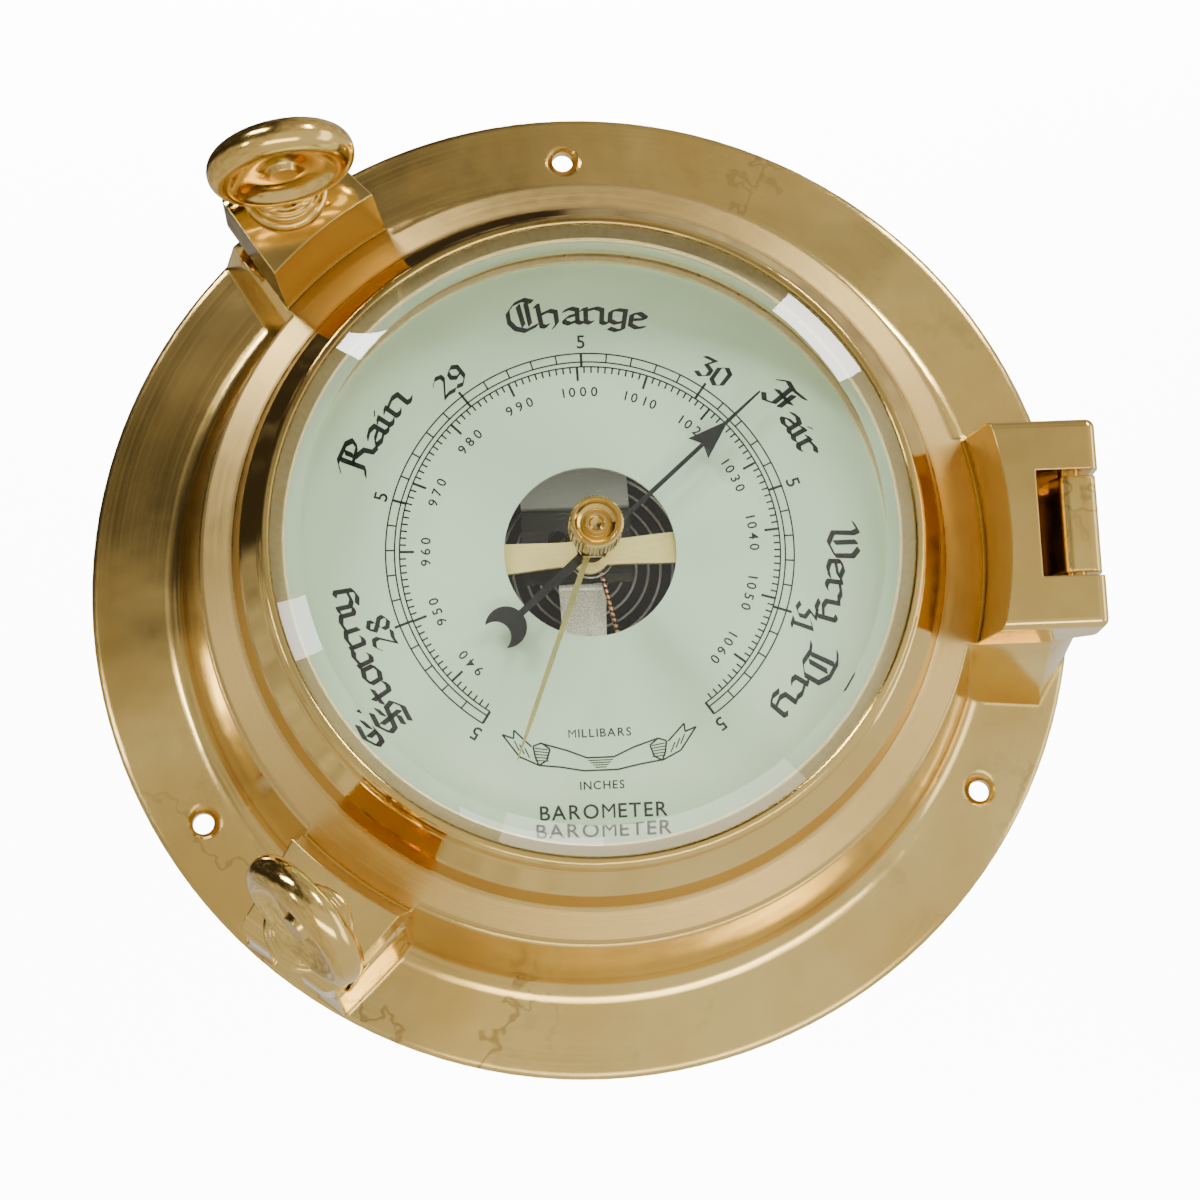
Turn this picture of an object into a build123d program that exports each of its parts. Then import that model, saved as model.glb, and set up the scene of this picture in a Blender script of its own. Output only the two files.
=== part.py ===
"""Brass ship's barometer: an aneroid movement in a cast flange with a hinged, dogged porthole door.

Frame: the back of the flange lies in the plane Y = 0 and the dial faces -Y. +Z is up the dial and
+X points to three o'clock. The origin is the centre of the wall screw circle. "Depth" is always
the distance in front of the wall, along -Y. All lengths are millimetres, all angles degrees.
"""
from math import cos, pi, radians, sin
import os

from build123d import *

os.makedirs("parts", exist_ok=True)

# ---------------------------------------------------------------- driving dimensions
FLANGE_R = 92.5            # outside radius of the wall flange
SCREW_CIRCLE_R = 84.0      # three wall screws at twelve, four and eight o'clock
SCREW_HOLE_R = 2.0
SCREW_SINK_R = 3.3
FLANGE_BORE_R = 66.0       # open back of the flange casting
CASTING_FRONT = 29.4       # front rim of the casting, under the door
SHELF_R = 58.0             # ledge that carries the instrument case
SHELF_BACK = 22.5
SHELF_FRONT = 26.0

DOOR_BACK = 29.8
DOOR_BORE_R = 57.4
LUG_FRONT = 45.2           # front face of the hinge block and both dog lugs
LUG_BACK = 30.2
LUG_FOOT_R = 71.9          # curved inner wall of the lugs, leaning outwards
LUG_WALL_TOP_R = 74.8

HINGE_X = 86.8
HINGE_DEPTH = 39.5
HINGE_HALF = 19.0          # half the height of the door's hinge block
NOTCH_HALF = 9.7           # half the gap between the door's knuckles
NOTCH_X = 79.8
BARREL_HALF = 8.8
PIN_R = 2.0
RUNNING_FIT = 0.05

DOG_R = 84.7               # distance of each dog bolt from the dial axis
DOG_ANGLES = {"upper": 180.0 - 51.8, "lower": 180.0 + 51.8}
DOG_TURNS = {"upper": 10.5, "lower": -50.6}    # direction of each thumb nut's disc
DISC_LEANS = {"upper": 7.0, "lower": 10.0}      # lean of each disc off its bolt's axis
DOG_PIVOT = 11.5           # depth of the trunnion pins
DOG_BOLT_R = 3.0
DOG_TIP = 51.0
DOG_EYE_R = 5.0
DOG_EYE_HALF = 3.2
TRUNNION_R = 2.2
TRUNNION_HALF = 8.0
EAR_TOP = 17.5
LUG_REACH = 7.3            # how far a lug runs out beyond its bolt
SLOT_HALF = 3.6
WASHER_BACK = 45.7
WASHER_FRONT = 47.1
DISC_R = 13.25             # thumb disc of the nut
DISC_DEPTH = 60.6

GLASS_R = 57.15
GLASS_FLAT_R = 51.6        # inner edge of the bevel
GLASS_BACK = 46.4
GLASS_EDGE = 49.35
GLASS_FRONT = 51.6

DIAL_R = 54.6
DIAL_HOLE_R = 15.55
DIAL_BACK = 32.7
DIAL_FRONT = 33.5
CASE_R = 56.0
CASE_WALL = 1.0
CASE_BACK = 3.0
PLATE_BACK = 6.0
PLATE_FRONT = 8.0

POINTER_ANGLE = 49.0       # clockwise from the top of the dial
POINTER_BACK = 36.4
POINTER_FRONT = 36.8
SET_HAND_ANGLE = 201.2     # clockwise from the top of the dial
SET_HAND_BACK = 43.6
SET_HAND_FRONT = 44.0
KNOB_BACK = 54.1
KNOB_FRONT = 61.0
KNOB_R = 4.75
KNURLS = 40

CAPSULE_R = 22.5
LEVER_Z = -4.95            # axis of the lever's barrel
ROCKER_Z = -30.0
ROCKER_DEPTH = 17.0
CHAIN_DEPTH = 28.2
CHAIN_TOP = (1.65, -0.9)
CHAIN_FOOT = (7.8, -28.9)

SECTION = Plane(origin=(0, 0, 0), x_dir=(1, 0, 0), z_dir=(0, 0, -1))   # local x, y = radius, depth


# ---------------------------------------------------------------- helpers
def at_depth(depth):
    """Plane across the dial axis, this far in front of the wall; local x, y are X and Z."""
    return Plane.XZ.offset(depth)


def turn(points, rounds=(), mode=Mode.ADD):
    """Turn an outline of (radius, depth) points about the dial axis; rounds are (radius, depth, r)."""
    with BuildSketch(SECTION) as outline:
        with BuildLine():
            Polyline(*points, close=True)
        make_face()
        for corner_r, corner_depth, size in rounds:
            corner = outline.vertices().sort_by_distance((corner_r, corner_depth))[0]
            fillet(corner, radius=size)
    revolve(outline.sketch, axis=Axis.Y, mode=mode)


def ring(inner, outer, back, front, mode=Mode.ADD):
    """A plain ring about the dial axis."""
    turn([(inner, back), (outer, back), (outer, front), (inner, front)], mode=mode)


def post(x, z, radius, back, front, mode=Mode.ADD):
    """A round bar parallel to the dial axis."""
    with BuildSketch(at_depth(back)) as section:
        with Locations((x, z)):
            Circle(radius)
    extrude(section.sketch, amount=front - back, mode=mode)


def slab(points, back, front, mode=Mode.ADD, plane=None):
    """A plate of the given X, Z outline between two depths."""
    with BuildSketch((plane or Plane.XZ).offset(back)) as outline:
        with BuildLine():
            Polyline(*points, close=True)
        make_face()
    extrude(outline.sketch, amount=front - back, mode=mode)


def ruled(sections, plane=None):
    """A casting with flat sloping sides through (depth, outline) sections."""
    faces = []
    for depth, points in sections:
        with BuildSketch((plane or Plane.XZ).offset(depth)) as outline:
            with BuildLine():
                Polyline(*points, close=True)
            make_face()
        faces.append(outline.sketch.face())
    loft(faces, ruled=True)


def on_circle(radius, clockwise):
    """X, Z of a point at this angle clockwise from the top of the dial."""
    return radius * sin(radians(clockwise)), radius * cos(radians(clockwise))


def dog_front(angle):
    """Plane at a dog bolt, seen from the front: local x runs outwards, local y round the flange."""
    c, s = cos(radians(angle)), sin(radians(angle))
    return Plane(origin=(DOG_R * c, 0, DOG_R * s), x_dir=(c, 0, s), z_dir=(0, -1, 0))


def dog_side(angle):
    """Plane at a dog bolt, seen from its side: local x runs outwards, local y is depth."""
    c, s = cos(radians(angle)), sin(radians(angle))
    return Plane(origin=(DOG_R * c, 0, DOG_R * s), x_dir=(c, 0, s), z_dir=(s, 0, -c))


def save(piece, name):
    piece.part.label = name
    export_step(piece.part, f"parts/{name}.step")


# ---------------------------------------------------------------- flange casting
with BuildPart() as base_flange:
    turn(
        [
            (FLANGE_BORE_R, 0), (FLANGE_R - 0.6, 0), (FLANGE_R, 0.6), (FLANGE_R, 1.9),
            (FLANGE_R - 0.7, 2.5), (75.4, 5.3), (70.6, CASTING_FRONT), (FLANGE_BORE_R, CASTING_FRONT),
            (FLANGE_BORE_R, SHELF_FRONT), (SHELF_R, SHELF_FRONT), (SHELF_R, SHELF_BACK),
            (FLANGE_BORE_R, SHELF_BACK),
        ],
        rounds=[(75.4, 5.3, 5.0), (70.6, CASTING_FRONT, 0.6)],
    )
    # Flared pedestal, web and middle knuckle of the hinge.
    ruled([
        (2.5, [(67, -26.5), (85, -26.5), (91, -16.5), (91, 16.5), (85, 26.5), (67, 26.5)]),
        (24.0, [(67, -18.5), (84, -18.5), (90.4, -14), (90.4, 14), (84, 18.5), (67, 18.5)]),
        (28.4, [(67, -16.8), (83, -16.8), (89, -12.6), (89, 12.6), (83, 16.8), (67, 16.8)]),
    ])
    with BuildSketch(SECTION) as knuckle:
        with BuildLine():
            Polyline((82.0, 27), (89.0, 27), (91.1, 34.5), (91.1, 43.7), (84.9, 43.7), (83.0, 39.5),
                     (82.0, 34.0), close=True)
        make_face()
        fillet(knuckle.vertices().group_by(Axis.Y)[-1], radius=1.8)
    extrude(knuckle.sketch, amount=BARREL_HALF, both=True)
    # A pair of flared ears at each dog, with open saddles for the trunnion pins.
    for angle in DOG_ANGLES.values():
        for side in (-1, 1):
            ruled(
                [
                    (2.6, [(-15, 5.2 * side), (6.9, 5.2 * side), (6.9, 11.2 * side), (-15, 15.5 * side)]),
                    (15.4, [(-14, 5.4 * side), (5.8, 5.4 * side), (5.8, 9.4 * side), (-14, 11.8 * side)]),
                    (EAR_TOP, [(-13, 6.4 * side), (3.8, 6.4 * side), (3.8, 8.2 * side),
                               (-13, 10.2 * side)]),
                ],
                plane=dog_front(angle),
            )
        with BuildSketch(dog_side(angle)) as saddle:
            with Locations((0, DOG_PIVOT)):
                Circle(TRUNNION_R + 0.4)
            with BuildLine():
                Polyline((-2.6, DOG_PIVOT), (2.6, DOG_PIVOT), (4.4, EAR_TOP + 2), (-3.4, EAR_TOP + 2),
                         close=True)
            make_face()
        extrude(saddle.sketch, amount=TRUNNION_HALF + 1.8, both=True, mode=Mode.SUBTRACT)
    # The bore and the shelf stay clear of the ears' and the pedestal's roots.
    ring(0, FLANGE_BORE_R, 0, SHELF_BACK, mode=Mode.SUBTRACT)
    ring(0, FLANGE_BORE_R, SHELF_FRONT, CASTING_FRONT + 1, mode=Mode.SUBTRACT)
    # Bore for the hinge pin.
    with BuildSketch(Plane.XY) as bore:
        with Locations((HINGE_X, -HINGE_DEPTH)):
            Circle(PIN_R)
    extrude(bore.sketch, amount=HINGE_HALF, both=True, mode=Mode.SUBTRACT)
    # Countersunk wall screw holes and the three tapped holes in the shelf.
    with Locations(at_depth(4.1)):
        with PolarLocations(SCREW_CIRCLE_R, 3, start_angle=90):
            CounterSinkHole(radius=SCREW_HOLE_R, counter_sink_radius=SCREW_SINK_R)
    for clockwise in (60, 180, 300):
        post(*on_circle(61.8, clockwise), 1.55, SHELF_BACK - 1, SHELF_FRONT + 1, mode=Mode.SUBTRACT)
save(base_flange, "base_flange")

# ---------------------------------------------------------------- door
with BuildPart() as door_ring:
    # Hinge block with two knuckles, then the two dog lugs.
    with BuildSketch(SECTION) as block:
        with BuildLine():
            Polyline((67, LUG_BACK), (81.5, LUG_BACK), (91.3, 36.4), (91.3, LUG_FRONT), (67, LUG_FRONT),
                     close=True)
        make_face()
        fillet(block.vertices().sort_by_distance((91.3, LUG_FRONT))[0], radius=1.8)
    extrude(block.sketch, amount=HINGE_HALF, both=True)
    fillet(door_ring.edges().filter_by(Axis.Y).group_by(Axis.X)[-1], radius=1.5)
    slab([(NOTCH_X, -NOTCH_HALF), (95, -NOTCH_HALF), (95, NOTCH_HALF), (NOTCH_X, NOTCH_HALF)],
         LUG_BACK - 1, LUG_FRONT + 1, mode=Mode.SUBTRACT)
    for angle in DOG_ANGLES.values():
        plane = dog_front(angle)
        with BuildSketch(plane.offset(LUG_BACK)) as lug:
            with BuildLine():
                Polyline((-19, -12.2), (LUG_REACH, -9.8), (LUG_REACH, 9.8), (-19, 12.2), close=True)
            make_face()
            fillet(lug.vertices().group_by(Axis.X)[-1], radius=2.5)
        extrude(lug.sketch, amount=LUG_FRONT - LUG_BACK)
        # Rounded outer brow that the washer rolls over as the dog swings out.
        with BuildSketch(dog_side(angle)) as brow:
            with BuildLine():
                Polyline((LUG_REACH - 3.6, LUG_FRONT), (LUG_REACH, LUG_FRONT - 3.6),
                         (LUG_REACH + 1, LUG_FRONT - 3.6), (LUG_REACH + 1, LUG_FRONT + 1),
                         (LUG_REACH - 3.6, LUG_FRONT + 1), close=True)
            make_face()
            with Locations((LUG_REACH - 3.6, LUG_FRONT - 3.6)):
                Circle(3.6, mode=Mode.SUBTRACT)
        extrude(brow.sketch, amount=16, both=True, mode=Mode.SUBTRACT)
        # Slot for the bolt, open outwards.
        with BuildSketch(plane.offset(LUG_BACK - 1)) as slot:
            Circle(SLOT_HALF)
            with Locations((8, 0)):
                Rectangle(16, 2 * SLOT_HALF)
        extrude(slot.sketch, amount=LUG_FRONT - LUG_BACK + 2, mode=Mode.SUBTRACT)
    turn([(0, LUG_BACK - 1), (69.0, LUG_BACK - 1), (69.0, 32.65), (LUG_FOOT_R, 31.0), (72.3, 34.0),
          (LUG_WALL_TOP_R, LUG_FRONT + 0.6), (0, LUG_FRONT + 0.6)],
         rounds=[(72.3, 34.0, 5.0)], mode=Mode.SUBTRACT)
    # The ring: brushed band, steep riser, polished cone and the lip over the glass.
    turn(
        [
            (DOOR_BORE_R, DOOR_BACK), (69.9, DOOR_BACK), (70.2, 30.1), (70.2, 31.7), (69.6, 32.3),
            (64.9, 34.9), (64.2, 35.4), (62.7, 40.5), (62.3, 41.1), (59.4, 45.0), (59.0, 45.3),
            (58.8, 49.3), (58.2, 50.0), (57.2, 50.0), (56.8, 49.6), (DOOR_BORE_R, 49.6),
        ],
        rounds=[(64.2, 35.4, 0.6), (58.2, 50.0, 0.4)],
    )
    with BuildSketch(Plane.XY) as bore:
        with Locations((HINGE_X, -HINGE_DEPTH)):
            Circle(PIN_R + RUNNING_FIT)
    extrude(bore.sketch, amount=HINGE_HALF - 1.0, both=True, mode=Mode.SUBTRACT)
save(door_ring, "door_ring")

with BuildPart() as hinge_pin:
    with BuildSketch(Plane.XY) as bar:
        with Locations((HINGE_X, -HINGE_DEPTH)):
            Circle(PIN_R)
    extrude(bar.sketch, amount=HINGE_HALF - 1.3, both=True)
save(hinge_pin, "hinge_pin")

with BuildPart() as glass:
    turn([(2.6, GLASS_BACK), (GLASS_R, GLASS_BACK), (GLASS_R, GLASS_EDGE),
          (GLASS_FLAT_R, GLASS_FRONT), (2.6, GLASS_FRONT)])
save(glass, "glass")

with BuildPart() as glass_seat:
    ring(54.2, 57.3, 45.8, GLASS_BACK)
save(glass_seat, "glass_seat")

with BuildPart() as glass_clamp_ring:
    turn([(53.6, 40.6), (56.9, 40.6), (57.3, 41.0), (57.3, 45.8), (53.6, 45.8)])
save(glass_clamp_ring, "glass_clamp_ring")

# ---------------------------------------------------------------- swing dogs
for side, angle in DOG_ANGLES.items():
    front = dog_front(angle)
    flank = dog_side(angle)
    with BuildPart() as dog_bolt:
        with BuildSketch(flank) as eye:
            with Locations((0, DOG_PIVOT)):
                Circle(DOG_EYE_R)
        extrude(eye.sketch, amount=DOG_EYE_HALF, both=True)
        with BuildSketch(front.offset(DOG_PIVOT)) as shank:
            Circle(DOG_BOLT_R)
        extrude(shank.sketch, amount=DOG_TIP - DOG_PIVOT)
        chamfer(dog_bolt.edges().sort_by(Axis.Y)[0], length=0.6)
        with BuildSketch(flank) as bore:
            with Locations((0, DOG_PIVOT)):
                Circle(TRUNNION_R)
        extrude(bore.sketch, amount=DOG_EYE_HALF + 1, both=True, mode=Mode.SUBTRACT)
    save(dog_bolt, f"{side}_dog_bolt")

    with BuildPart() as dog_pin:
        with BuildSketch(flank) as bar:
            with Locations((0, DOG_PIVOT)):
                Circle(TRUNNION_R)
        extrude(bar.sketch, amount=TRUNNION_HALF, both=True)
        chamfer(dog_pin.edges(), length=0.3)
    save(dog_pin, f"{side}_dog_pin")

    with BuildPart() as dog_washer:
        with BuildSketch(front.offset(WASHER_BACK)) as disc:
            Circle(7.8)
            Circle(DOG_BOLT_R + 0.3, mode=Mode.SUBTRACT)
        extrude(disc.sketch, amount=WASHER_FRONT - WASHER_BACK)
        chamfer(dog_washer.edges().group_by(Axis.Y)[0].sort_by(SortBy.LENGTH)[-1], length=0.4)
    save(dog_washer, f"{side}_dog_washer")

    c, s = cos(radians(DOG_TURNS[side])), sin(radians(DOG_TURNS[side]))
    level, lean = cos(radians(DISC_LEANS[side])), sin(radians(DISC_LEANS[side]))
    centre = front.offset(DISC_DEPTH).origin
    with BuildPart() as dog_nut:
        # Dished thumb disc standing on edge: rounded rim, thin web and a centre boss.
        with BuildSketch(Plane(origin=centre, x_dir=(-s * lean, -level, c * lean), z_dir=(-c, 0, -s))) as half:
            with BuildLine():
                Line((0, -2.7), (0, 2.7))
                Line((0, 2.7), (2.5, 2.7))
                Line((2.5, 2.7), (3.0, 1.5))
                ThreePointArc((3.0, 1.5), (6.4, 1.1), (9.5, 2.9))
                Line((9.5, 2.9), (10.1, 3.2))
                ThreePointArc((10.1, 3.2), (12.5, 2.1), (DISC_R, 0))
                ThreePointArc((DISC_R, 0), (12.5, -2.1), (10.1, -3.2))
                Line((10.1, -3.2), (9.5, -2.9))
                ThreePointArc((9.5, -2.9), (6.4, -1.1), (3.0, -1.5))
                Line((3.0, -1.5), (2.5, -2.7))
                Line((2.5, -2.7), (0, -2.7))
            make_face()
        revolve(half.sketch, axis=Axis(origin=centre, direction=(-s * level, lean, c * level)))
        # Stepped collar and the neck that flares into the disc.
        with BuildSketch(front.offset(WASHER_FRONT)) as collar:
            Circle(6.7)
        extrude(collar.sketch, amount=1.3)
        with BuildSketch(front.offset(WASHER_FRONT + 1.3)) as step:
            Circle(5.9)
        extrude(step.sketch, amount=0.9)
        with BuildSketch(front.offset(WASHER_FRONT + 2.2)) as neck:
            Circle(5.0)
        extrude(neck.sketch, amount=3.0, taper=35)
        with BuildSketch(front.offset(WASHER_FRONT - 1)) as bore:
            Circle(DOG_BOLT_R + RUNNING_FIT + 0.01)
        extrude(bore.sketch, amount=DOG_TIP + 0.3 - WASHER_FRONT + 1, mode=Mode.SUBTRACT)
    save(dog_nut, f"{side}_dog_nut")

# ---------------------------------------------------------------- set hand through the glass
with BuildPart() as set_bush:
    turn([(1.05, 45.0), (2.55, 45.0), (2.55, GLASS_FRONT), (4.0, GLASS_FRONT), (4.0, 53.8), (1.05, 53.8)])
save(set_bush, "set_bush")

with BuildPart() as set_bush_nut:
    with BuildSketch(at_depth(45.0)) as hexagon:
        RegularPolygon(4.0, 6)
        Circle(2.56, mode=Mode.SUBTRACT)
    extrude(hexagon.sketch, amount=GLASS_BACK - 45.0)
save(set_bush_nut, "set_bush_nut")

with BuildPart() as set_spindle:
    turn([(0, 42.8), (0.7, 42.8), (1.0, 43.1), (1.0, 57.0), (0, 57.0)])
save(set_spindle, "set_spindle")

with BuildPart() as set_knob:
    turn([(0, KNOB_BACK), (KNOB_R - 0.5, KNOB_BACK), (KNOB_R, KNOB_BACK + 0.5), (KNOB_R, KNOB_FRONT - 0.5),
          (KNOB_R - 0.4, KNOB_FRONT), (KNOB_R - 0.9, KNOB_FRONT), (KNOB_R - 1.4, 60.1), (2.4, 59.4),
          (1.9, 60.0), (1.4, 60.0), (1.0, 59.3), (0, 59.1)])
    with BuildSketch(at_depth(KNOB_BACK)) as knurls:
        with PolarLocations(KNOB_R + 0.12, KNURLS):
            RegularPolygon(0.36, 4)
    extrude(knurls.sketch, amount=KNOB_FRONT - KNOB_BACK, mode=Mode.SUBTRACT)
    post(0, 0, 1.0, KNOB_BACK - 1, 57.0, mode=Mode.SUBTRACT)
save(set_knob, "set_knob")

with BuildPart() as set_hand:
    across, along = on_circle(1, SET_HAND_ANGLE)

    def hand_point(distance, aside):
        """X, Z of a point this far along the set hand and this far to its side."""
        return distance * across + aside * along, distance * along - aside * across

    ring(1.0, 2.3, SET_HAND_BACK - 0.5, SET_HAND_FRONT + 0.6)
    slab([hand_point(1.6, 0.55), hand_point(34, 0.4), hand_point(41.7, 0.1), hand_point(41.7, -0.1),
          hand_point(34, -0.4), hand_point(1.6, -0.55)], SET_HAND_BACK, SET_HAND_FRONT)
    slab([hand_point(-1.6, 0.7), hand_point(-7, 0.45), hand_point(-7, -0.45), hand_point(-1.6, -0.7)],
         SET_HAND_BACK, SET_HAND_FRONT)
save(set_hand, "set_hand")

# ---------------------------------------------------------------- case, dial and fixings
with BuildPart() as instrument_case:
    turn([(0, CASE_BACK), (CASE_R - 1, CASE_BACK), (CASE_R, CASE_BACK + 1), (CASE_R, SHELF_FRONT),
          (65.2, SHELF_FRONT), (65.2, SHELF_FRONT + 1.2), (CASE_R, SHELF_FRONT + 1.2), (CASE_R, 33.9),
          (CASE_R - CASE_WALL, 33.9), (CASE_R - CASE_WALL, CASE_BACK + 1), (0, CASE_BACK + 1)])
    post(0, 38, 2.6, CASE_BACK - 1, CASE_BACK + 2, mode=Mode.SUBTRACT)
    for clockwise in (60, 180, 300):
        post(*on_circle(61.8, clockwise), 1.6, SHELF_FRONT - 1, SHELF_FRONT + 2, mode=Mode.SUBTRACT)
        post(*on_circle(42, clockwise + 30), 1.25, CASE_BACK - 1, CASE_BACK + 2, mode=Mode.SUBTRACT)
save(instrument_case, "instrument_case")

with BuildPart() as case_screws:
    for clockwise in (60, 180, 300):
        x, z = on_circle(61.8, clockwise)
        post(x, z, 1.5, SHELF_BACK, SHELF_FRONT + 1.2)
        post(x, z, 2.8, SHELF_FRONT + 1.2, SHELF_FRONT + 2.6)
        slab([(x - 3, z - 0.35), (x + 3, z - 0.35), (x + 3, z + 0.35), (x - 3, z + 0.35)],
             SHELF_FRONT + 2.0, SHELF_FRONT + 3, mode=Mode.SUBTRACT)
save(case_screws, "case_screws")

with BuildPart() as dial:
    ring(DIAL_HOLE_R, DIAL_R, DIAL_BACK, DIAL_FRONT)
save(dial, "dial")

with BuildPart() as dial_ring:
    ring(53.9, 54.95, DIAL_FRONT, DIAL_FRONT + 0.9)
save(dial_ring, "dial_ring")

with BuildPart() as dial_feet:
    for clockwise in (0, 120, 240):
        post(*on_circle(44, clockwise + 15), 2.0, PLATE_FRONT, DIAL_BACK)
save(dial_feet, "dial_feet")

with BuildPart() as dial_foot_screws:
    for clockwise in (0, 120, 240):
        x, z = on_circle(44, clockwise + 15)
        post(x, z, 2.2, PLATE_BACK - 1.3, PLATE_BACK)
        post(x, z, 1.2, PLATE_BACK, PLATE_FRONT)
save(dial_foot_screws, "dial_foot_screws")

# ---------------------------------------------------------------- movement, fixed pieces
with BuildPart() as movement_plate:
    ring(0, 50, PLATE_BACK, PLATE_FRONT)
    post(0, 38, 2.05, PLATE_BACK - 1, PLATE_FRONT + 1, mode=Mode.SUBTRACT)
    for clockwise in (0, 120, 240):
        post(*on_circle(44, clockwise + 15), 1.25, PLATE_BACK - 1, PLATE_FRONT + 1, mode=Mode.SUBTRACT)
        post(*on_circle(42, clockwise + 90), 1.25, PLATE_BACK - 1, PLATE_FRONT + 1, mode=Mode.SUBTRACT)
save(movement_plate, "movement_plate")

with BuildPart() as plate_spacers:
    for clockwise in (90, 210, 330):
        x, z = on_circle(42, clockwise)
        post(x, z, 2.6, CASE_BACK + 1, PLATE_BACK)
        post(x, z, 1.25, CASE_BACK, PLATE_BACK + 1, mode=Mode.SUBTRACT)
save(plate_spacers, "plate_spacers")

with BuildPart() as plate_screws:
    for clockwise in (90, 210, 330):
        x, z = on_circle(42, clockwise)
        post(x, z, 2.4, CASE_BACK - 1.4, CASE_BACK)
        post(x, z, 1.2, CASE_BACK, PLATE_FRONT)
        slab([(x - 3, z - 0.3), (x + 3, z - 0.3), (x + 3, z + 0.3), (x - 3, z + 0.3)],
             CASE_BACK - 2, CASE_BACK - 0.8, mode=Mode.SUBTRACT)
save(plate_screws, "plate_screws")

with BuildPart() as capsule:
    # Corrugated vacuum capsule on its foot.
    waves = [(5.0 + 1.25 * i, 17.9 + 0.45 * cos(pi * i)) for i in range(13)]
    under = [(r, 30.2 - depth) for r, depth in reversed(waves)]
    turn([(0, 19.2), (4.2, 19.2)] + waves + [(21.2, 15.7), (CAPSULE_R, 15.5), (CAPSULE_R, 14.7),
         (21.2, 14.5)] + under + [(4.2, 11.2), (2.6, 11.2), (2.6, PLATE_FRONT), (0, PLATE_FRONT)])
save(capsule, "capsule")

with BuildPart() as main_spring:
    # Bowed leaf: foot under the capsule, bend above it, flat nose over its centre.
    with BuildSketch(Plane(origin=(-2, 0, 0), x_dir=(0, 0, 1), z_dir=(1, 0, 0))) as leaf:
        with BuildLine() as bow:
            foot = Line((-8, 9.4), (25.5, 9.4))
            bend = TangentArc((25.5, 9.4), (26.5, 18.2), tangent=(1, 0))
            TangentArc(bend @ 1, (9.2, 24.4), tangent=bend % 1)
            Line((9.2, 24.4), (-3.9, 24.4))
        trace(bow.edges(), line_width=1.3)
    extrude(leaf.sketch, amount=9.9, both=True)
    post(0, 0, 3.4, 8.5, 10.6, mode=Mode.SUBTRACT)
    post(-5.6, 3.9, 1.9, 22, 26, mode=Mode.SUBTRACT)
    post(0, 0, 1.6, 22, 26, mode=Mode.SUBTRACT)
save(main_spring, "main_spring")

with BuildPart() as spring_screws:
    for x in (-6.5, 6.5):
        post(x, 12, 1.3, PLATE_FRONT, 8.75)
    for x in (-6.5, 6.5):
        post(x, 12, 2.2, 10.05, 11.0)
save(spring_screws, "spring_screws")

with BuildPart() as bridge:
    # Waisted brass bar across the dial opening, on two feet.
    slab([(-26, -4.4), (-5.5, -2.2), (5.5, -2.0), (26, -2.4), (26, 4.4), (5.5, 2.6), (-5.5, 2.2),
          (-26, 2.4)], 30.4, 31.6)
    post(0, 0, 3.6, 30.4, 32.0)
    post(0, 0, 0.75, 29, 33, mode=Mode.SUBTRACT)
save(bridge, "bridge")

with BuildPart() as bridge_pillars:
    for x in (-23.8, 23.8):
        post(x, 0, 1.0, PLATE_FRONT, 30.4)
save(bridge_pillars, "bridge_pillars")

with BuildPart() as bridge_screws:
    for x in (-23.8, 23.8):
        post(x, 0, 2.0, 31.6, 32.5)
save(bridge_screws, "bridge_screws")

with BuildPart() as rocker_bracket:
    # U-shaped frame for the two pivots of the rocker shaft.
    for x in (-12.5, 11.3):
        slab([(x, ROCKER_Z - 4), (x + 1.2, ROCKER_Z - 4), (x + 1.2, ROCKER_Z + 4), (x, ROCKER_Z + 4)],
             PLATE_FRONT, ROCKER_DEPTH + 3)
    slab([(-12.5, ROCKER_Z - 4), (12.5, ROCKER_Z - 4), (12.5, ROCKER_Z + 4), (-12.5, ROCKER_Z + 4)],
         PLATE_FRONT, PLATE_FRONT + 1.2)
    with BuildSketch(Plane.YZ) as bore:
        with Locations((-ROCKER_DEPTH, ROCKER_Z)):
            Circle(0.85)
    extrude(bore.sketch, amount=14, both=True, mode=Mode.SUBTRACT)
save(rocker_bracket, "rocker_bracket")

# ---------------------------------------------------------------- movement, moving pieces
with BuildPart() as regulating_screw:
    post(0, 38, 2.0, 2.2, 9.0)
    post(0, 38, 2.45, 1.2, 4.4)
    slab([(-3, 37.6), (3, 37.6), (3, 38.4), (-3, 38.4)], 1.0, 2.1, mode=Mode.SUBTRACT)
save(regulating_screw, "regulating_screw")

with BuildPart() as capsule_stud:
    post(0, 0, 1.2, 19.7, 25.4)
    post(0, 0, 2.4, 25.4, 26.0)
save(capsule_stud, "capsule_stud")

with BuildPart() as main_lever:
    # Flat arm hung from a barrel at the spring's nose, with a drop link over the rocker.
    slab([(-5.6, LEVER_Z), (3.0, LEVER_Z), (1.9, -33), (0.7, -36.5), (-3.6, -36.5), (-4.6, -33)],
         24.0, 24.8)
    with BuildSketch(Plane.YZ.offset(-5.6)) as barrel:
        with Locations((-24.4, LEVER_Z)):
            Circle(0.8)
    extrude(barrel.sketch, amount=8.6)
    post(-1.6, ROCKER_Z - 4, 0.6, 18.4, 24.0)
save(main_lever, "main_lever")

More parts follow.
